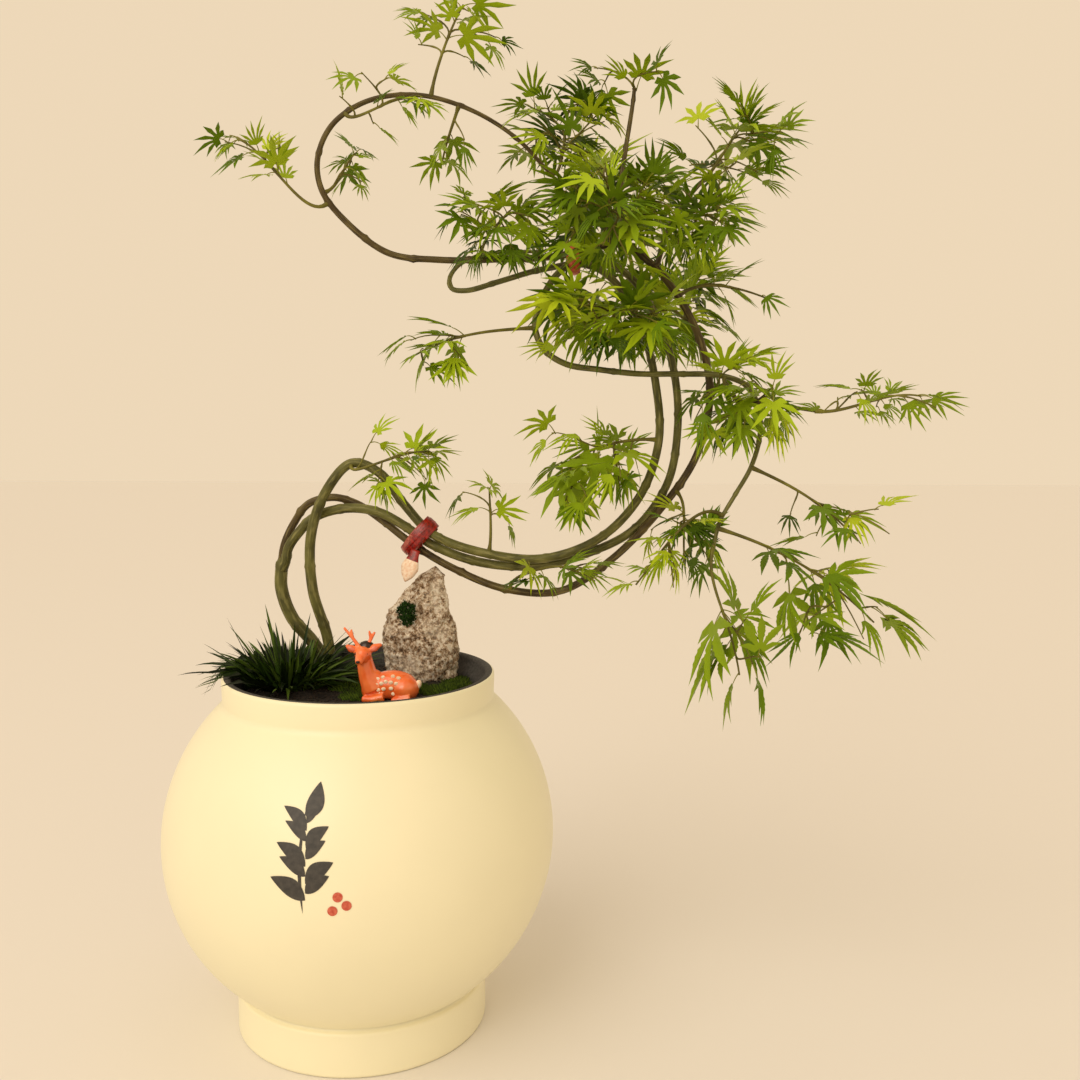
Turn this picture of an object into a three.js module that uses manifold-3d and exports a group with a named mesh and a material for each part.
// Potted Japanese maple. Long trained stems loop out of a round cream pot, are tied over a stone, sweep to
// the right, climb, and are tied again under an open crown of lobed leaves.
// Millimetres, +Z up. The origin is the middle of the pot's flat underside. The plant leans to +X, and -Y is
// its front.
import * as THREE from 'three';
import { mergeVertices } from 'three/addons/utils/BufferGeometryUtils.js';
import Module from 'manifold-3d';

const wasm = await Module();
wasm.setup();

// Driving dimensions
const BELLY_RADIUS = 130;
const BELLY_HALF_HEIGHT = 126.3;
const BELLY_MIDDLE = 130.2;
const WALL = 7;
const FOOT_RADIUS = 83.8;
const FOOT_TOP = 30;
const RIM_RADIUS = 90;
const RIM_TOP = 239.6;
const SOIL_TOP = 226;
const SOIL_RADIUS = 75.5;
const CLEAR = 0.3;

const UP = new THREE.Vector3(0, 0, 1);
const vec = (x, y, z) => new THREE.Vector3(x, y, z);

// Materials
const paint = (color, roughness) => new THREE.MeshStandardMaterial({ color, roughness, metalness: 0 });
const GLAZE = paint(0xf3e2b4, 0.35);
const SOIL = paint(0x2b2a1c, 0.95);
const BARK = paint(0x6a6236, 0.7);
const LEAF = paint(0x7d9a1e, 0.55);
const STONE = paint(0xa08a6c, 0.9);
const ORANGE = paint(0xe8622a, 0.25);
const GRASS = paint(0x1f3318, 0.6);
const TIE = paint(0xb03a2a, 0.5);

// Each node is one named mesh of the plant
const plant = new THREE.Group();

function addNode(name, geometry, material) {
  const mesh = new THREE.Mesh(geometry, material);
  mesh.name = name;
  plant.add(mesh);
  return mesh;
}

// Closed meshes to solids and back, and the union of several
function toSolid(geometry) {
  const plain = geometry.clone();
  plain.deleteAttribute('normal');
  plain.deleteAttribute('uv');
  const merged = mergeVertices(plain);
  return new wasm.Manifold(new wasm.Mesh({
    numProp: 3,
    vertProperties: new Float32Array(merged.attributes.position.array),
    triVerts: new Uint32Array(merged.index.array),
  }));
}

function toGeometry(solid) {
  const mesh = solid.getMesh();
  const geometry = new THREE.BufferGeometry();
  geometry.setAttribute('position', new THREE.BufferAttribute(new Float32Array(mesh.vertProperties), 3));
  geometry.setIndex(new THREE.BufferAttribute(new Uint32Array(mesh.triVerts), 1));
  return geometry;
}

// Joins the pieces and keeps the largest body, so that no loose scrap is left
function fused(geometries) {
  const joined = geometries.map(toSolid).reduce((sum, next) => sum.add(next));
  const bodies = joined.decompose();
  return toGeometry(bodies.reduce((best, body) => (body.volume() > best.volume() ? body : best)));
}

function meshOf(points, triangles) {
  const geometry = new THREE.BufferGeometry();
  const values = points.flatMap((p) => [p.x, p.y, p.z]);
  geometry.setAttribute('position', new THREE.Float32BufferAttribute(values, 3));
  geometry.setIndex(triangles);
  return geometry;
}

// Headings along a path, each from its neighbours
function headingsOf(path) {
  return path.map((p, k) => {
    const ahead = path[Math.min(k + 1, path.length - 1)];
    const behind = path[Math.max(k - 1, 0)];
    return ahead.clone().sub(behind).normalize();
  });
}

// Tube with its own radius at each point of its path, closed by flat ends
function taperedTube(path, radii, sides, headings = headingsOf(path)) {
  const points = [];
  const triangles = [];
  let across = vec(0.31, 0.87, 0.38);
  path.forEach((p, k) => {
    across = across.clone().addScaledVector(headings[k], -across.dot(headings[k])).normalize();
    const other = headings[k].clone().cross(across);
    for (let s = 0; s < sides; s += 1) {
      const turn = (2 * Math.PI * s) / sides;
      points.push(p.clone()
        .addScaledVector(across, radii[k] * Math.cos(turn))
        .addScaledVector(other, radii[k] * Math.sin(turn)));
    }
  });
  for (let k = 0; k < path.length - 1; k += 1) {
    for (let s = 0; s < sides; s += 1) {
      const a = k * sides + s;
      const b = k * sides + ((s + 1) % sides);
      triangles.push(a, b, b + sides, a, b + sides, a + sides);
    }
  }
  const last = (path.length - 1) * sides;
  for (let s = 1; s < sides - 1; s += 1) {
    triangles.push(0, s + 1, s, last, last + s, last + s + 1);
  }
  return meshOf(points, triangles);
}

// Pot: a round belly on a foot collar, with a soft lip, and open inside down to a thick floor.
// An arc of the belly runs between two angles above its middle, inset from the outer face.
const TURNS = 26;

function bellyArc(from, to, steps, inset) {
  return Array.from({ length: steps + 1 }, (_, k) => {
    const angle = from + ((to - from) * k) / steps;
    const height = BELLY_MIDDLE + (BELLY_HALF_HEIGHT - inset) * Math.sin(angle);
    return [(BELLY_RADIUS - inset) * Math.cos(angle), height];
  });
}

const angleAt = (height, inset) => Math.asin((height - BELLY_MIDDLE) / (BELLY_HALF_HEIGHT - inset));
const SHOULDER_TOP = 222;
const FLOOR_ANGLE = angleAt(13, WALL);
const THROAT_ANGLE = angleAt(SOIL_TOP - 2, WALL);
const THROAT_RADIUS = 80;
const INSIDE_STEPS = 5;

function turned(profile, segments) {
  return new THREE.LatheGeometry(profile.map(([r, z]) => new THREE.Vector2(r, z)), segments)
    .rotateX(Math.PI / 2)
    .rotateZ(Math.PI);
}

function makePot() {
  const foot = [[0, 0], [FOOT_RADIUS - 2, 0], [FOOT_RADIUS, 2], [FOOT_RADIUS, FOOT_TOP - 4],
    [FOOT_RADIUS - 2, FOOT_TOP - 0.5]];
  const belly = bellyArc(angleAt(FOOT_TOP + 0.4, 0), angleAt(SHOULDER_TOP, 0), 9, 0);
  const lip = [[RIM_RADIUS - 0.4, SHOULDER_TOP + 4], [RIM_RADIUS, RIM_TOP - 6], [RIM_RADIUS - 2, RIM_TOP],
    [RIM_RADIUS - 4, RIM_TOP], [RIM_RADIUS - 6, RIM_TOP - 4], [THROAT_RADIUS, SOIL_TOP + 4]];
  const inside = bellyArc(THROAT_ANGLE, FLOOR_ANGLE, INSIDE_STEPS, WALL);
  return turned([...foot, ...belly, ...lip, ...inside, [0, inside[INSIDE_STEPS][1]]], TURNS);
}

// Soil with a flat top, and low moss mounds standing on it round the stone and the stems: each one's place,
// radius and rise
const MOSS_MOUNDS = [[57, -6, 15, 4], [38, -1, 12, 3], [-5, 36, 13, 4], [-8, 8, 14, 3], [18, -54, 13, 3]];
const MOSS_ROOT = 2;
const MOSS_PEAK = 1.1;
const MOSS_TURNS = 9;

function makeSoil() {
  const body = bellyArc(FLOOR_ANGLE, THROAT_ANGLE, INSIDE_STEPS, WALL + CLEAR);
  const soil = turned([[0, body[0][1]], ...body, [SOIL_RADIUS, SOIL_TOP], [0, SOIL_TOP]], TURNS);
  const mounds = MOSS_MOUNDS.map(([x, y, radius, rise]) => {
    const shoulder = [radius * 0.8, rise * 0.6];
    const crown = [radius * 0.45, rise];
    const profile = [[0, -MOSS_ROOT], [radius, -MOSS_ROOT], shoulder, crown, [0, rise * MOSS_PEAK]];
    return turned(profile, MOSS_TURNS).translate(x, y, SOIL_TOP);
  });
  return fused([soil, ...mounds]);
}

addNode('pot', makePot(), GLAZE);
addNode('soil', makeSoil(), SOIL);

// Standing stone: a leaning pointed block, wide at its foot
const STONE_LEVELS = [
  { z: 0, x: 40, y: 34, rx: 23, ry: 14 },
  { z: 15, x: 39, y: 34, rx: 25, ry: 15 },
  { z: 32, x: 36, y: 35, rx: 25, ry: 14 },
  { z: 48, x: 37, y: 36, rx: 20, ry: 12 },
  { z: 62, x: 41, y: 37, rx: 14, ry: 9 },
  { z: 73, x: 46, y: 38, rx: 8, ry: 6 },
];
const STONE_PEAK = vec(48, 38, SOIL_TOP + 79);

function makeStone() {
  const sides = 11;
  const points = [];
  STONE_LEVELS.forEach((level, k) => {
    for (let s = 0; s < sides; s += 1) {
      const turn = (2 * Math.PI * s) / sides + k * 0.2;
      const rough = 1 + 0.09 * Math.sin(s * 2.7 + k * 1.9) - 0.05 * Math.cos(s * 5.1 + k);
      const x = level.x + level.rx * rough * Math.cos(turn);
      const y = level.y + level.ry * rough * Math.sin(turn);
      points.push(vec(x, y, SOIL_TOP + CLEAR + level.z));
    }
  });
  const triangles = [];
  for (let k = 0; k < STONE_LEVELS.length - 1; k += 1) {
    for (let s = 0; s < sides; s += 1) {
      const a = k * sides + s;
      const b = k * sides + ((s + 1) % sides);
      triangles.push(a, b, b + sides, a, b + sides, a + sides);
    }
  }
  const top = (STONE_LEVELS.length - 1) * sides;
  points.push(STONE_PEAK.clone());
  for (let s = 0; s < sides; s += 1) {
    triangles.push(top + s, top + ((s + 1) % sides), points.length - 1);
  }
  for (let s = 1; s < sides - 1; s += 1) {
    triangles.push(0, s + 1, s);
  }
  return meshOf(points, triangles);
}

addNode('stone', makeStone(), STONE);

// Lying deer ornament, its head turned to the front
const DEER_FOOT = vec(17, -28, SOIL_TOP + CLEAR);

function egg(x, y, z, rx, ry, rz, tilt = 0) {
  return new THREE.SphereGeometry(1, 7, 5).scale(rx, ry, rz).rotateY(tilt).translate(x, y, z);
}

function rod(from, to, startRadius, endRadius) {
  return taperedTube([from, to], [startRadius, endRadius], 4);
}

function makeDeer() {
  const trunk = egg(8, 0, 10.4, 16, 9.5, 9.8);
  const haunch = egg(15, -3, 8.6, 9.5, 9, 8.6);
  const chest = egg(-6, -1, 10.6, 7, 7, 10.6, 0.35);
  const neck = rod(vec(-7, -1, 12), vec(-10, -2, 30), 6, 4.2);
  const head = egg(-10.5, -4.5, 31, 5.4, 6.6, 5);
  const muzzle = egg(-12.5, -9.6, 28.6, 2.8, 4, 2.6);
  const farEar = rod(vec(-6, -3, 33), vec(1, -2, 37), 2.6, 0.8);
  const nearEar = rod(vec(-15, -3, 33), vec(-21.5, -2, 37), 2.6, 0.8);
  const antler = rod(vec(-13, -3, 34), vec(-23.5, -1, 48.4), 1.3, 0.8);
  const tine = rod(vec(-18, -2, 41), vec(-18.4, -2, 47), 1.1, 0.7);
  const farAntler = rod(vec(-9, -2, 34), vec(-3, 0, 45), 1.3, 0.8);
  const farTine = rod(vec(-5.6, -1, 40), vec(-6.6, -1, 46), 1.1, 0.7);
  const foreleg = egg(-4, -6, 2.6, 9, 3.4, 2.6);
  const body = [trunk, haunch, chest, neck, head, muzzle, farEar, nearEar, antler, tine, farAntler, farTine,
    foreleg];
  return fused(body).translate(DEER_FOOT.x, DEER_FOOT.y, DEER_FOOT.z);
}

addNode('deer_ornament', makeDeer(), ORANGE);

// Directions that wind round by the golden turn, in radians, and steps by the golden share
const GOLDEN_TURN = 2.39996;
const GOLDEN_STEP = 0.618;

// Repeatable random numbers between 0 and 1
function seeded(seed) {
  let state = (seed * 7919) % 2147483647;
  const draw = () => {
    state = (state * 16807) % 2147483647;
    return state / 2147483647;
  };
  draw();
  draw();
  return draw;
}

// Whips: the long limbs, each one smooth curve through its bends. A place on a whip is counted in its points.
// Radii are given by place, and pieces says where a whip is split at its bends.
const WHIPS = {
  front_whip: {
    route: [[-26.5, 50, 226.4], [-30, 49, 253.5], [-39, 46, 287], [-39, 43, 326], [-28, 41, 356.5],
      [-9.5, 39, 376.5], [10, 36, 370], [27.5, 33.5, 348], [47.5, 30, 328], [83.5, 24, 316],
      [124, 18, 313.5], [162, 12, 329], [187.5, 6, 358.5], [198, 0, 394.5], [195, -4, 430],
      [186, -6, 463.5], [170.5, -6, 492], [154.5, -4.5, 505], [139, -3.5, 506.5], [129, -6, 499],
      [119, -9, 481], [116, -10, 466], [122, -11.5, 452], [136, -12.5, 443], [158, -13, 439.5],
      [183.5, -14, 437], [209, -16, 437], [235.5, -18, 436], [252, -20, 429], [259.5, -21, 413],
      [259.5, -23, 396], [254, -26, 378], [244, -29, 361], [234, -32, 344], [229.5, -36, 329]],
    radii: [[0, 4.2], [0.5, 3.6], [5, 3.0], [10, 2.8], [13, 2.5], [18, 2.0], [28, 1.6], [34, 1.1]],
    pieces: [['front_stem_rise', 0, 5], ['front_stem_fall', 5, 9.5], ['front_stem_sweep', 9.5, 12.5],
      ['front_stem_climb', 12.5, 18], ['lower_loop_turn', 18, 22.5], ['lower_loop_run', 22.5, 28],
      ['drooping_bough', 28, 34]],
  },
  left_trunk: {
    route: [[-31, 60, 226.4], [-34.5, 60, 235], [-43, 60, 248], [-56.5, 59, 265], [-63.5, 58, 286.5],
      [-62.5, 57.5, 305.2]],
    radii: [[0, 5.0], [0.8, 4.3], [5, 4.1]],
    pieces: [['left_trunk', 0, 5]],
  },
  outer_whip: {
    route: [[-63.5, 60, 305.6], [-61, 60, 318], [-54.5, 60, 332], [-43.5, 59, 346.5], [-25.5, 57, 351.5],
      [-8, 54, 347], [10, 49, 336], [30.5, 40, 321.5], [59, 34, 305], [96.5, 27, 291],
      [134.5, 21, 290.5], [168.5, 14, 313], [199.5, 6, 347], [222.5, -1, 383.5], [230, -6, 420.5],
      [224.5, -10, 452.5], [210.5, -12, 481.5], [192, -12, 504.5], [172, -8, 519], [155, -3, 518],
      [139, -0.5, 514], [120, 1, 511.5], [92, 3, 510.5], [54.5, 4, 510], [21, 3, 514],
      [-6, 0, 533.5], [-20.5, -2, 552.5], [-22.5, -3, 572], [-12.5, -4, 592.5], [10, -4, 607],
      [42.5, -3, 611], [77, 0, 602], [104, 4, 586.5], [124.5, 8, 567]],
    radii: [[0, 2.5], [12, 2.3], [18, 2.1], [24, 1.9], [33, 1.1]],
    pieces: [['outer_stem_arch', 0, 4], ['outer_stem_fall', 4, 9], ['outer_stem_sweep', 9, 12.5],
      ['outer_stem_climb', 12.5, 16], ['outer_stem_turn', 16, 20], ['big_loop_base', 20, 24.5],
      ['big_loop_side', 24.5, 27.5], ['big_loop_top', 27.5, 31], ['big_loop_end', 31, 33]],
  },
  inner_whip: {
    route: [[-59.5, 54.5, 305.6], [-57, 53.5, 316], [-50, 52, 326], [-38.5, 51, 337.5], [-16, 48, 344.5],
      [7.5, 43, 342.5], [26, 39, 333.5], [46, 35, 320.5], [79, 31, 309], [116, 27, 307],
      [152.5, 21, 316.5], [184, 14, 334], [205, 7, 365.5], [210.5, 2, 401.5], [207.5, -2, 436],
      [197, -4, 468.5], [179.5, -3, 497], [158, 2, 511], [139, 3.5, 508], [129, 7, 506.5],
      [114.5, 12, 504], [91.5, 16, 497.5], [70.5, 18, 492], [61, 20, 493.5], [59.5, 21, 500],
      [65, 22, 508.5], [78, 22, 515], [96, 20, 517.5], [119.5, 17, 517.5]],
    radii: [[0, 3.2], [8, 2.9], [12, 2.5], [18, 1.9], [22, 1.6], [28, 1.0]],
    pieces: [['inner_stem_arch', 0, 4], ['inner_stem_fall', 4, 9], ['inner_stem_sweep', 9, 12],
      ['inner_stem_climb', 12, 18], ['hook_bough_out', 18, 23.5], ['hook_bough_back', 23.5, 28]],
  },
};

// Boughs that leave the side of a whip
const SIDE_BOUGHS = {
  upright_bough: {
    limb: 'outer_whip',
    at: 18.15,
    route: [[169.5, -4, 548], [173.5, 0, 579.5], [177.5, 3, 605], [179, 4, 618]],
    radii: [[0, 1.6], [4, 1.1]],
  },
  upper_right_bough: {
    limb: 'outer_whip',
    at: 17,
    route: [[202, 2, 530], [217, 10, 553.5], [229, 14, 567]],
    radii: [[0, 1.7], [3, 1.2]],
  },
  far_right_bough: {
    limb: 'front_whip',
    at: 28.65,
    route: [[275.5, -22, 417], [294.5, -24, 414]],
    radii: [[0, 1.3], [2, 1.0]],
  },
};

const HEADING_STEP = 0.01;

function makeLimb(route, radii) {
  const curve = new THREE.CatmullRomCurve3(route.map((p) => vec(...p)));
  const last = route.length - 1;
  const point = (place) => curve.getPoint(place / last);
  const heading = (place) => {
    const behind = point(Math.max(place - HEADING_STEP, 0));
    return point(Math.min(place + HEADING_STEP, last)).sub(behind).normalize();
  };
  const radius = (place) => {
    const next = Math.max(1, radii.findIndex(([end]) => place <= end));
    const [start, startRadius] = radii[next - 1];
    const [end, endRadius] = radii[next];
    return startRadius + ((endRadius - startRadius) * (place - start)) / (end - start);
  };
  return { last, point, heading, radius };
}

// Foot of a twig or bough: on the side of its limb, or on the limb's tip, and clear of it
function footOn(limb, place, target) {
  const base = limb.point(place);
  const axis = limb.heading(place);
  if (place === limb.last) {
    return { start: base.addScaledVector(axis, CLEAR), out: axis };
  }
  const toward = target.clone().sub(base);
  const out = toward.addScaledVector(axis, -toward.dot(axis)).normalize();
  return { start: base.addScaledVector(out, limb.radius(place) + CLEAR), out };
}

const limbs = {};
Object.entries(WHIPS).forEach(([name, whip]) => {
  limbs[name] = makeLimb(whip.route, whip.radii);
});
Object.entries(SIDE_BOUGHS).forEach(([name, bough]) => {
  const { start, out } = footOn(limbs[bough.limb], bough.at, vec(...bough.route[0]));
  limbs[name] = makeLimb([start.toArray(), ...bough.route], bough.radii);
  limbs[name].foot = out;
});

// One stretch of a limb. Its foot and top may face along a heading given.
const LIMB_SIDES = 5;
const STEPS_PER_POINT = 1.5;

function limbSolid(limb, from, to, foot, top) {
  const steps = Math.ceil((to - from) * STEPS_PER_POINT);
  const places = Array.from({ length: steps + 1 }, (_, k) => from + ((to - from) * k) / steps);
  const headings = places.map(limb.heading);
  headings[0] = foot ?? headings[0];
  headings[steps] = top ?? headings[steps];
  return taperedTube(places.map(limb.point), places.map(limb.radius), LIMB_SIDES, headings);
}

// A split leaves a little over half of the clear gap on each side, in places of the whip
const SPLIT_SHARE = 0.6;
const PACE_STEP = 0.05;

function splitMargin(limb, place) {
  const ahead = limb.point(Math.min(place + PACE_STEP, limb.last));
  const behind = limb.point(Math.max(place - PACE_STEP, 0));
  const pace = ahead.distanceTo(behind) / (2 * PACE_STEP);
  return (CLEAR * SPLIT_SHARE) / pace;
}

Object.entries(WHIPS).forEach(([name, whip]) => {
  const limb = limbs[name];
  whip.pieces.forEach(([piece, from, to]) => {
    const start = from === 0 ? 0 : from + splitMargin(limb, from);
    const end = to === limb.last ? to : to - splitMargin(limb, to);
    const foot = from === 0 ? UP : null;
    const top = name === 'left_trunk' ? UP : null;
    addNode(piece, limbSolid(limb, start, end, foot, top), BARK);
  });
});
Object.keys(SIDE_BOUGHS).forEach((name) => {
  addNode(name, limbSolid(limbs[name], 0, limbs[name].last, limbs[name].foot), BARK);
});

// Ties: flat bands round the bundled stems, each an oval ring turned to the bundle's heading. Twigs and
// leaves keep out of the tie's reach.
const LOW_TIE = {
  middle: [37.3, 35.4, 326.1], along: [0.72, -0.16, -0.68], tall: 16.2, deep: 10.4, band: 11, wall: 1.4,
  reach: 15.5,
};
const HIGH_TIE = {
  middle: [140.5, -0.4, 509.6], along: [1, -0.05, 0.2], tall: 9.6, deep: 8.8, band: 8, wall: 1.3,
  reach: 11,
};

function makeTie(tie) {
  const along = vec(...tie.along).normalize();
  const tallWay = UP.clone().addScaledVector(along, -UP.dot(along)).normalize();
  const deepWay = along.clone().cross(tallWay);
  const ring = new THREE.Shape();
  ring.absellipse(0, 0, tie.tall, tie.deep, 0, 2 * Math.PI);
  const hole = new THREE.Path();
  hole.absellipse(0, 0, tie.tall - tie.wall, tie.deep - tie.wall, 0, 2 * Math.PI);
  ring.holes.push(hole);
  const band = new THREE.ExtrudeGeometry(ring, { depth: tie.band, bevelEnabled: false, curveSegments: 8 });
  band.translate(0, 0, -tie.band / 2);
  band.applyMatrix4(new THREE.Matrix4().makeBasis(tallWay, deepWay, along).setPosition(vec(...tie.middle)));
  return band;
}

// The low tie's loose end hangs down from the band
function makeLowTie() {
  const band = makeTie(LOW_TIE);
  const end = taperedTube([vec(33, 27.5, 317), vec(32, 27, 308), vec(29, 27, 301), vec(28, 27, 296)],
    [2.2, 3.2, 5, 1.2], 4);
  return fused([band, end]);
}

addNode('low_tie', makeLowTie(), TIE);
addNode('high_tie', makeTie(HIGH_TIE), TIE);

// Dwarf grass tuft at the left of the pot: a low crown that blades arch out of. A blade that would pass
// through something that stands there, or through the pot's lip, is left out.
const TUFT = { x: -50, y: 10, core: 13, blades: 24, length: 54, seed: 5 };
const LIP_INSIDE = 76;
const LIP_OUTSIDE = 93;
const HANG_LOWEST = RIM_TOP - 22;
const BLADE_GAP = 2;
const BLADE_RADII = [1.5, 1.1, 0.25];
const BLADE_SIDES = 3;

function limbSamples(perPoint) {
  return Object.values(limbs).flatMap((limb) => Array.from({ length: limb.last * perPoint + 1 }, (_, k) => (
    { point: limb.point(k / perPoint), radius: limb.radius(k / perPoint) }
  )));
}

function bladeIsFree(p) {
  const fromAxis = Math.hypot(p.x, p.y);
  const overLip = fromAxis < LIP_INSIDE || p.z > (fromAxis < LIP_OUTSIDE ? RIM_TOP + BLADE_GAP : HANG_LOWEST);
  const offMoss = MOSS_MOUNDS.every(([x, y, radius, rise]) => (
    Math.hypot(p.x - x, p.y - y) > radius + BLADE_GAP || p.z > SOIL_TOP + rise * MOSS_PEAK + BLADE_GAP));
  const offStone = STONE_LEVELS.every((level) => (
    Math.hypot((p.x - level.x) / (level.rx + 3), (p.y - level.y) / (level.ry + 3)) > 1.1));
  const offDeer = Math.hypot((p.x - DEER_FOOT.x) / 32, (p.y - DEER_FOOT.y) / 16) > 1;
  const offLimbs = limbSamples(4).every(({ point, radius }) => point.distanceTo(p) > radius + 3);
  return overLip && offMoss && offStone && offDeer && offLimbs;
}

function makeTuft() {
  const ground = SOIL_TOP + CLEAR;
  const draw = seeded(TUFT.seed);
  const crown = [[0, 0], [TUFT.core, 0], [TUFT.core * 0.8, 6], [0, 9]];
  const core = turned(crown, 8).translate(TUFT.x, TUFT.y, ground);
  const blades = [];
  for (let k = 0; k < TUFT.blades; k += 1) {
    const turn = k * GOLDEN_TURN;
    const lean = 0.25 + 0.75 * Math.sqrt((k + 0.5) / TUFT.blades);
    const length = TUFT.length * (0.72 + 0.34 * draw());
    const out = vec(Math.cos(turn), Math.sin(turn), 0);
    const root = vec(TUFT.x, TUFT.y, ground + 3).addScaledVector(out, TUFT.core * 0.55 * lean);
    const middle = root.clone().addScaledVector(out, length * 0.45 * lean);
    middle.z += length * (0.58 - 0.22 * lean);
    const tip = root.clone().addScaledVector(out, length * lean);
    tip.z += length * (0.95 - 0.85 * lean);
    const places = [root, middle, tip];
    const inner = [0.25, 0.5, 0.75].flatMap((f) => (
      [root.clone().lerp(middle, f), middle.clone().lerp(tip, f)]));
    if ([middle, tip, ...inner].every(bladeIsFree)) {
      blades.push(taperedTube(places, BLADE_RADII, BLADE_SIDES));
    }
  }
  return fused([core, ...blades]);
}

addNode('grass_tuft', makeTuft(), GRASS);

// Foliage masses. Each grows from one stem, which stands clear on the side or tip of its limb, and keeps to
// its own rounded box: a middle and half sizes. Then come its leaf length, number of shoots, droop and seed.
const MASSES = [
  {
    name: 'apex_spray', limb: 'outer_whip', at: 30.2, middle: [65, -2, 653], half: [37, 30, 28],
    leaf: 25, shoots: 5, droop: 0.4, seed: 18,
  },
  {
    name: 'far_left_spray', limb: 'outer_whip', at: 25.6, middle: [-61, -12, 574], half: [29, 26, 17],
    leaf: 28, shoots: 3, droop: 0.5, seed: 31,
  },
  {
    name: 'loop_left_spray', limb: 'outer_whip', at: 28.4, middle: [22, -14, 602], half: [37, 28, 25],
    leaf: 26, shoots: 6, droop: 0.5, seed: 19,
  },
  {
    name: 'loop_inner_spray', limb: 'outer_whip', at: 25.9, middle: [-6, 14, 572], half: [17, 22, 26],
    leaf: 20, shoots: 3, droop: 0.9, seed: 24,
  },
  {
    name: 'loop_top_spray', limb: 'outer_whip', at: 30.7, middle: [59, 10, 584], half: [25, 30, 24],
    leaf: 27, shoots: 3, droop: 0.7, seed: 19,
  },
  {
    name: 'upper_left_crown', limb: 'outer_whip', at: 33, middle: [134, 16, 596], half: [41, 42, 33],
    leaf: 31, shoots: 7, droop: 0.6, seed: 31,
  },
  {
    name: 'upper_middle_crown', limb: 'upright_bough', at: 4, middle: [175, 2, 625], half: [36, 40, 34],
    leaf: 30, shoots: 4, droop: 0.5, seed: 17,
  },
  {
    name: 'upper_right_crown', limb: 'upper_right_bough', at: 3, middle: [243, 18, 586], half: [47, 46, 34],
    leaf: 33, shoots: 6, droop: 0.6, seed: 19,
  },
  {
    name: 'left_middle_crown', limb: 'outer_whip', at: 22.3, middle: [93, -24, 525], half: [38, 36, 29],
    leaf: 31, shoots: 6, droop: 0.6, seed: 14,
  },
  {
    name: 'front_crown', limb: 'outer_whip', at: 18.4, middle: [160, -52, 529], half: [48, 38, 39],
    leaf: 34, shoots: 8, droop: 0.7, seed: 32,
  },
  {
    name: 'back_crown', limb: 'upper_right_bough', at: 0.6, middle: [172, 60, 559], half: [52, 42, 47],
    leaf: 36, shoots: 5, droop: 0.7, seed: 5,
  },
  {
    name: 'right_middle_crown', limb: 'upper_right_bough', at: 1.2, middle: [220, -36, 529],
    half: [31, 38, 28], leaf: 31, shoots: 4, droop: 0.7, seed: 2,
  },
  {
    name: 'lower_front_crown', limb: 'front_whip', at: 15.5, middle: [159, -46, 469], half: [53, 38, 29],
    leaf: 36, shoots: 6, droop: 0.7, seed: 31,
  },
  {
    name: 'lower_back_crown', limb: 'outer_whip', at: 15.6, middle: [203, 46, 487], half: [55, 40, 43],
    leaf: 38, shoots: 4, droop: 0.7, seed: 29,
  },
  {
    name: 'right_low_spray', limb: 'outer_whip', at: 16.2, middle: [249, -16, 486], half: [26, 28, 21],
    leaf: 29, shoots: 3, droop: 0.7, seed: 4,
  },
  {
    name: 'left_low_spray', limb: 'front_whip', at: 21, middle: [51, -26, 449], half: [29, 26, 22],
    leaf: 30, shoots: 3, droop: 0.7, seed: 26,
  },
  {
    name: 'right_bundle', limb: 'front_whip', at: 27.1, middle: [244, -28, 420], half: [37, 42, 37],
    leaf: 34, shoots: 7, droop: 0.9, seed: 27,
  },
  {
    name: 'far_right_spray', limb: 'far_right_bough', at: 2, middle: [335, -28, 420], half: [54, 28, 19],
    leaf: 29, shoots: 5, droop: 0.4, seed: 4,
  },
  {
    name: 'inner_left_mass', limb: 'front_whip', at: 13, middle: [154, -8, 383], half: [44, 44, 47],
    leaf: 38, shoots: 6, droop: 0.8, seed: 102,
  },
  {
    name: 'loop_spray', limb: 'front_whip', at: 5.0, middle: [30, 26, 382], half: [35, 28, 35],
    leaf: 27, shoots: 3, droop: 0.6, seed: 14,
  },
  {
    name: 'sweep_spray', limb: 'front_whip', at: 9.05, middle: [86, 20, 348], half: [28, 26, 27],
    leaf: 26, shoots: 3, droop: 0.6, seed: 6,
  },
  {
    name: 'low_leaves', limb: 'outer_whip', at: 9.1, middle: [133, -2, 307], half: [44, 20, 17],
    leaf: 28, shoots: 3, droop: 0.5, seed: 101,
  },
  {
    name: 'between_stems_spray', limb: 'outer_whip', at: 12.4, middle: [211, -26, 330], half: [31, 28, 37],
    leaf: 30, shoots: 4, droop: 0.9, seed: 31,
  },
  {
    name: 'lower_right_twigs', limb: 'front_whip', at: 31, middle: [309, -30, 341], half: [48, 36, 23],
    leaf: 31, shoots: 5, droop: 0.6, seed: 11,
  },
  {
    name: 'big_leaf_spray', limb: 'front_whip', at: 34, middle: [237, -66, 275], half: [27, 40, 51],
    leaf: 47, shoots: 4, droop: 1.0, seed: 30,
  },
  {
    name: 'big_leaf_tip_spray', limb: 'front_whip', at: 33.3, middle: [311, -40, 293], half: [54, 44, 39],
    leaf: 45, shoots: 4, droop: 0.7, seed: 30,
  },
  {
    name: 'low_left_twig', limb: 'front_whip', at: 32.8, middle: [189, -50, 314], half: [35, 26, 21],
    leaf: 31, shoots: 3, droop: 0.6, seed: 146,
  },
];
const STEM_RADIUS = 1.4;
const SHOOT_ROOT = 0.6;
const TWIG_END = 1.1;
const STEM_STEPS = 5;
const SHOOT_STEPS = 2;
const LEAST_SHOOT = 7;
const LONG_SHOOT = 30;
const SHOOT_SET_OUT = 0.25;
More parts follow.
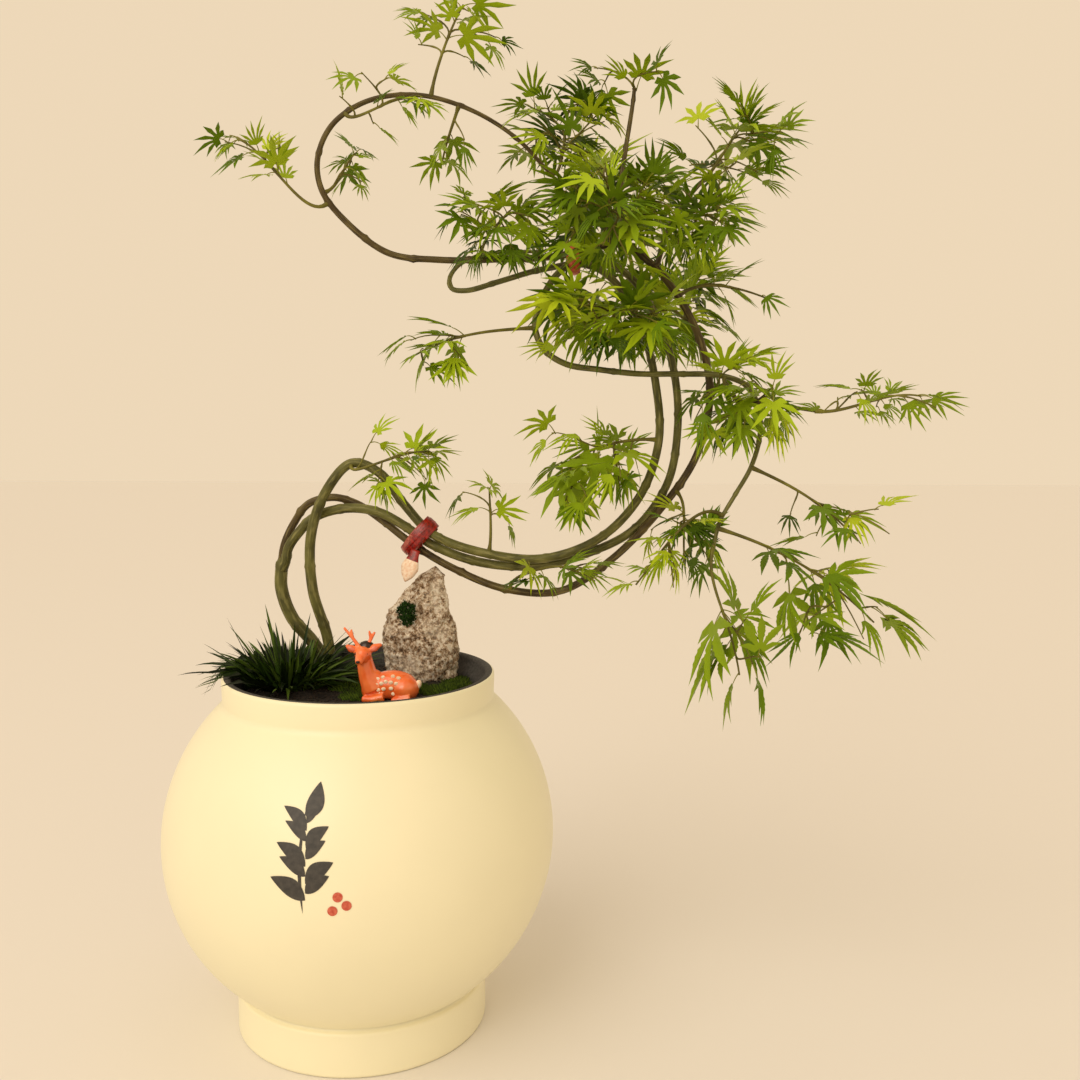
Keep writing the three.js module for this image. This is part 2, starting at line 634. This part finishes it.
const SHOOT_RISE = 0.1;
const SHOOT_LIFT = 0.14;

const unit = (v) => v.clone().normalize();
const along = (from, heading, distance) => from.clone().addScaledVector(heading, distance);

// Points of a twig: it sets out along one heading, bends to its tip, and is lifted a little on the way
function twigPath(start, setOut, tip, lift, steps) {
  const span = tip.distanceTo(start);
  const bend = start.clone().lerp(tip, 0.66).addScaledVector(UP, lift * span);
  const curve = new THREE.CubicBezierCurve3(start, along(start, setOut, span), bend, tip);
  return Array.from({ length: steps + 1 }, (_, k) => curve.getPoint(k / steps));
}

// The main stem runs through its box to one of these depths past the middle: the first one clear of all limbs
const STEM_DEPTHS = [0.5, 0.25, 0, -0.25, -0.5];
const STEM_SET_OUT = 0.3;
const STEM_LIFT = 0.12;
const STEM_GAP = 0.8;
const closeSamples = limbSamples(8);

function isOffLimbs(path) {
  const middles = path.slice(2).map((p, k) => p.clone().lerp(path[k + 1], 0.5));
  return [...path.slice(1), ...middles].every((p) => (
    closeSamples.every(({ point, radius }) => point.distanceTo(p) - radius > STEM_RADIUS + STEM_GAP)));
}

function mainStem(mass) {
  const middle = vec(...mass.middle);
  const { start, out } = footOn(limbs[mass.limb], mass.at, middle);
  const inward = middle.clone().sub(start);
  const size = Math.max(inward.clone().divide(vec(...mass.half)).length(), 0.6);
  const setOut = out.clone().multiplyScalar(STEM_SET_OUT);
  const paths = STEM_DEPTHS.map((depth) => (
    twigPath(start, setOut, along(middle, inward, depth / size), STEM_LIFT, STEM_STEPS)));
  return { path: paths.find(isOffLimbs) ?? paths[STEM_DEPTHS.length - 1], foot: out };
}

// Everything that a twig or leaf keeps clear of: limbs, ties, and the stems of the other masses
MASSES.forEach((mass) => {
  const { path, foot } = mainStem(mass);
  mass.stem = path;
  mass.foot = foot;
});
const obstacles = [
  ...limbSamples(4),
  ...[LOW_TIE, HIGH_TIE].map((tie) => ({ point: vec(...tie.middle), radius: tie.reach })),
  ...MASSES.flatMap((owner) => owner.stem.slice(0, -1).flatMap((point, k) => [
    { point, radius: STEM_RADIUS, owner },
    { point: point.clone().lerp(owner.stem[k + 1], 0.5), radius: STEM_RADIUS, owner },
  ])),
];

// How deep a point lies in a mass's rounded box: 0 in its middle and 1 on its face. A point is free where it
// isn't deeper in another mass's box, no farther out than a reach, and clear of the obstacles.
const OWN_MARGIN = 0.06;
const LEAF_REACH = 1.16;
const TWIG_REACH = 1.1;
const SHOOT_GAP = 1.6;

function depthIn(p, mass) {
  const shares = p.toArray().map((value, k) => (value - mass.middle[k]) / mass.half[k]);
  return shares.reduce((total, share) => total + share ** 4, 0) ** 0.25;
}

function isFree(p, mass, clear, reach) {
  const own = depthIn(p, mass);
  return own <= reach
    && MASSES.every((other) => other === mass || own + OWN_MARGIN <= depthIn(p, other))
    && obstacles.every(({ point, radius, owner }) => owner === mass || point.distanceTo(p) - radius > clear);
}

// Leaf: a blade of five pointed lobes round its foot, given by angle and reach, with a notch between
// neighbours. The tips curl down. A slim stalk runs back from the foot and through the twig.
const LOBES = [[-84, 0.55], [-42, 0.88], [0, 1], [42, 0.88], [84, 0.55]];
const NOTCH_REACH = 0.3;
const NOTCH_ANGLE = 21;
const TAIL_SPREAD = 150;
const TAIL_REACH = 0.03;
const MOST_BEND = 0.45;
const TAIL_ANGLE = 120;
const LEAF_ROLL = 1.3;
const LEAF_HALF_WIDTH = 0.07;
const TIP_GAP = 0.8;
const FOOT_GAP = 1;
const BLADE_MARGIN = 0.5;
const TRIES = 6;
const NODE_STEP = 1.3;

function leafSpot(leaf, degrees, reach, drop) {
  const angle = THREE.MathUtils.degToRad(degrees);
  return leaf.foot.clone()
    .addScaledVector(leaf.mid, Math.cos(angle) * reach * leaf.size)
    .addScaledVector(leaf.side, Math.sin(angle) * reach * leaf.size)
    .addScaledVector(leaf.normal, -drop * leaf.size);
}

function leafOutline(leaf) {
  const lobes = LOBES.flatMap(([angle, reach], k) => {
    const tip = leafSpot(leaf, angle, reach, leaf.curl * reach * reach);
    return k ? [leafSpot(leaf, angle - NOTCH_ANGLE, NOTCH_REACH, 0.01), tip] : [tip];
  });
  return [leafSpot(leaf, -TAIL_SPREAD, TAIL_REACH, 0), ...lobes, leafSpot(leaf, TAIL_SPREAD, TAIL_REACH, 0)];
}

// Leaves that would pass through each other or through a twig are left out, so that each stays a whole blade
const segmentsOf = (path) => path.slice(1).map((p, k) => [path[k], p]);

function crosses(segments, triangles) {
  const ray = new THREE.Ray();
  const spot = vec(0, 0, 0);
  return segments.some(([from, to]) => {
    const length = from.distanceTo(to);
    ray.set(from, to.clone().sub(from).divideScalar(length));
    return triangles.some(([a, b, c]) => (
      ray.intersectTriangle(a, b, c, false, spot) !== null && spot.distanceTo(from) <= length));
  });
}

const limbSegments = Object.values(limbs).flatMap((limb) => (
  segmentsOf(Array.from({ length: limb.last * 4 + 1 }, (_, k) => limb.point(k / 4)))));
const stemSegments = MASSES.flatMap(({ stem }) => segmentsOf(stem));

function tryLeaf(grown, node, direction, length, twist) {
  const { mass, draw } = grown;
  const size = length * (0.8 + 0.4 * draw());
  const mid = along(direction, UP, -mass.droop * (0.35 + 0.9 * draw())).normalize();
  const stalk = along(direction, UP, -0.15).normalize();
  const foot = along(node, stalk, size * (0.24 + 0.14 * draw()));
  let flat = along(UP, mid, -UP.dot(mid));
  if (flat.lengthSq() < 0.04) {
    flat = along(direction, mid, -direction.dot(mid)).addScaledVector(UP, 0.01);
  }
  const turn = twist + (draw() - 0.5) * LEAF_ROLL;
  const normal = flat.normalize().applyAxisAngle(mid, turn);
  const side = normal.clone().cross(mid);
  const leaf = { node, stalk, foot, mid, normal, side, size, curl: 0.1 + 0.18 * draw() };
  const tail = THREE.MathUtils.radToDeg(Math.atan2(-stalk.dot(side), -stalk.dot(mid)));
  if (stalk.dot(mid) < MOST_BEND || Math.abs(tail) < TAIL_ANGLE) {
    return null;
  }
  const halfWidth = size * LEAF_HALF_WIDTH;
  const rim = leafOutline(leaf);
  const outlineFree = rim.every((p) => (
    isFree(p, mass, TIP_GAP, LEAF_REACH)
    && isFree(p.clone().lerp(foot, 0.5), mass, halfWidth + BLADE_MARGIN, LEAF_REACH)));
  if (!outlineFree || !isFree(foot, mass, FOOT_GAP, TWIG_REACH)) {
    return null;
  }
  leaf.edges = [...segmentsOf(rim), [node.clone().lerp(foot, 0.3), foot]];
  leaf.triangles = segmentsOf(rim).map(([a, b]) => [foot, a, b]);
  const near = grown.leaves.filter((other) => other.foot.distanceTo(foot) < size + other.size);
  const touches = crosses([...limbSegments, ...stemSegments], leaf.triangles)
    || crosses(grown.twigs.flatMap(({ path }) => segmentsOf(path)), leaf.triangles)
    || near.some((other) => crosses(leaf.edges, other.triangles) || crosses(other.edges, leaf.triangles));
  return touches ? null : leaf;
}

function addLeaf(grown, node, direction, length, twist) {
  for (let k = 0; k < TRIES; k += 1) {
    const leaf = tryLeaf(grown, node, direction, length, twist);
    if (leaf) {
      grown.leaves.push(leaf);
      return;
    }
  }
}

function addPair(grown, node, heading, length, turn) {
  const { draw } = grown;
  let flat = heading.clone().cross(UP);
  if (flat.lengthSq() < 0.01) {
    flat = vec(1, 0, 0);
  }
  flat.normalize();
  const rise = flat.clone().cross(heading);
  const across = flat.multiplyScalar(Math.cos(turn)).addScaledVector(rise, Math.sin(turn));
  [-1, 1].forEach((sign) => {
    const lean = 0.55 + 0.35 * draw();
    const direction = across.clone().multiplyScalar(sign).addScaledVector(heading, lean).normalize();
    const place = along(node, heading, sign > 0 ? -2 * NODE_STEP : -NODE_STEP);
    addLeaf(grown, place, direction, length * (0.82 + 0.3 * draw()), sign * 0.35);
  });
}

const headingAt = (path, k) => path[k].clone().sub(path[k - 1]).normalize();

// Shoots leave the main stem in a spiral of directions, and end on a shell inside the mass's box
function growMass(mass) {
  const draw = seeded(mass.seed);
  const { stem } = mass;
  const twigs = [{ path: stem, radii: [STEM_RADIUS, TWIG_END], foot: mass.foot }];
  const leaves = [];
  const grown = { mass, draw, twigs, leaves };
  const stemEnd = headingAt(stem, STEM_STEPS);
  addPair(grown, stem[3], headingAt(stem, 3), mass.leaf, draw() * 3.1);
  addLeaf(grown, stem[STEM_STEPS], stemEnd, mass.leaf * 0.9, (draw() - 0.5) * 0.8);
  addPair(grown, stem[STEM_STEPS], stemEnd, mass.leaf * 0.9, draw() * 3.1);
  for (let k = 0; k < mass.shoots; k += 1) {
    const turn = k * GOLDEN_TURN + draw() * 0.9;
    const high = ((k * GOLDEN_STEP + draw() * 0.35) % 1) * 1.7 - 0.85;
    const ring = Math.sqrt(1 - high * high);
    const reach = 0.58 + 0.22 * draw();
    const tip = vec(ring * Math.cos(turn), ring * Math.sin(turn), high)
      .multiplyScalar(reach).multiply(vec(...mass.half)).add(vec(...mass.middle));
    const gaps = stem.slice(1, STEM_STEPS).map((p) => p.distanceTo(tip));
    const from = Math.max(gaps.indexOf(Math.min(...gaps)), 1);
    const ahead = headingAt(stem, from + 1);
    const setOut = ahead.multiplyScalar(SHOOT_SET_OUT).addScaledVector(UP, SHOOT_RISE);
    const shoot = twigPath(stem[from], setOut, tip, SHOOT_LIFT, SHOOT_STEPS);
    const span = tip.distanceTo(stem[from]);
    const steps = segmentsOf(shoot).flatMap(([a, b]) => (
      [0.2, 0.4, 0.6, 0.8, 1].map((f) => a.clone().lerp(b, f))));
    if (span >= LEAST_SHOOT && steps.slice(2).every((p) => isFree(p, mass, SHOOT_GAP, TWIG_REACH))
      && !leaves.some((leaf) => crosses(segmentsOf(shoot), leaf.triangles))) {
      const before = leaves.length;
      twigs.push({ path: shoot, radii: [SHOOT_ROOT, TWIG_END] });
      if (span > LONG_SHOOT) {
        addPair(grown, shoot[1], headingAt(shoot, 1), mass.leaf * 0.95, draw() * 3.1);
      }
      const heading = headingAt(shoot, SHOOT_STEPS);
      addPair(grown, shoot[SHOOT_STEPS], heading, mass.leaf * 0.9, draw() * 3.1);
      addLeaf(grown, shoot[SHOOT_STEPS], heading, mass.leaf * 0.8, (draw() - 0.5) * 0.8);
      if (leaves.length === before) {
        twigs.pop();
      }
    }
  }
  return { twigs, leaves };
}

// Leaf solid: its outline joined to a ridge point above the foot and one below
const STALK_OVERSHOOT = 0.35;
const TWIG_SIDES = 3;
const BUD = 1.2;
const LEAST_HALF_THICKNESS = 0.9;
const THICKNESS_SHARE = 0.03;

function leafSolid(leaf) {
  const tail = along(leaf.node, leaf.stalk, -STALK_OVERSHOOT);
  const rim = [...leafOutline(leaf), tail];
  const halfThickness = Math.max(LEAST_HALF_THICKNESS, leaf.size * THICKNESS_SHARE);
  const above = along(leaf.foot, leaf.normal, halfThickness);
  const below = along(leaf.foot, leaf.normal, -halfThickness);
  const points = [...rim, above, below];
  const top = rim.length;
  const triangles = rim.flatMap((_, k) => {
    const next = (k + 1) % rim.length;
    return [top, k, next, top + 1, next, k];
  });
  return meshOf(points, triangles);
}

// Twig solid: three-sided, with its foot square to its limb, and a bud past its last leaves
function twigSolid({ path, radii: [thick, fine], foot }) {
  const last = path.length - 1;
  const radii = path.map((_, k) => thick + ((fine - thick) * k) / last);
  const headings = headingsOf(path);
  headings[0] = foot ?? headings[0];
  const bud = along(path[last], headings[last], BUD);
  return taperedTube([...path.slice(0, last), bud], radii, TWIG_SIDES, headings);
}

MASSES.forEach((mass) => {
  const { twigs, leaves } = growMass(mass);
  addNode(mass.name, fused([...twigs.map(twigSolid), ...leaves.map(leafSolid)]), LEAF);
});

export default plant;
